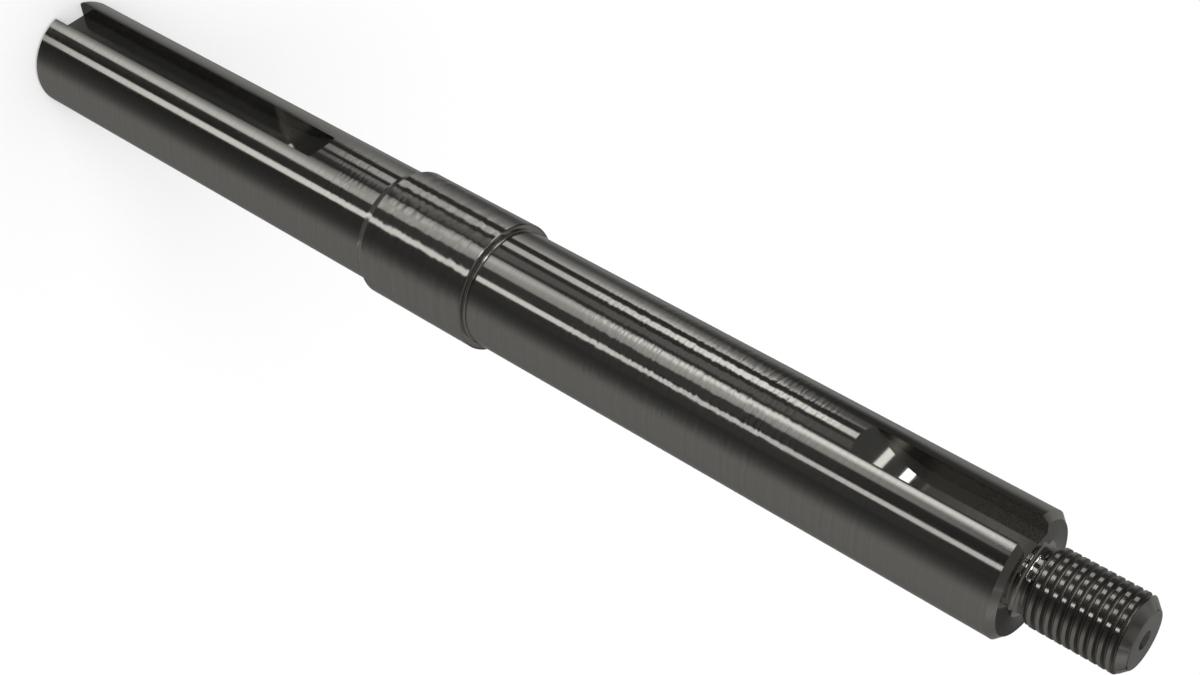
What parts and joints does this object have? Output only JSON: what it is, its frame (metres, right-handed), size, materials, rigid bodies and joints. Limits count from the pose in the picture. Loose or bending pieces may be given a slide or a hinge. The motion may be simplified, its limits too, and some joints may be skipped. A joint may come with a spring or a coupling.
{
  "type": "stepped shaft",
  "caption": "Round steel shaft with a collar between two ground journals, a keyway open through the end of each journal, and a threaded stud at one end.",
  "frame": {"origin": "centre of the plain end's face, which the shaft stands on", "axes": "+Z along the axis from the plain end to the threaded stud, +X out through both keyways"},
  "size_m": [0.0174, 0.0174, 0.1769],
  "materials": {
    "ground_steel": "turned and ground bright steel, bare, with a fine lay round the axis"
  },
  "bodies": {
    "root": {"shaft": "ground_steel"}
  },
  "joints": []
}
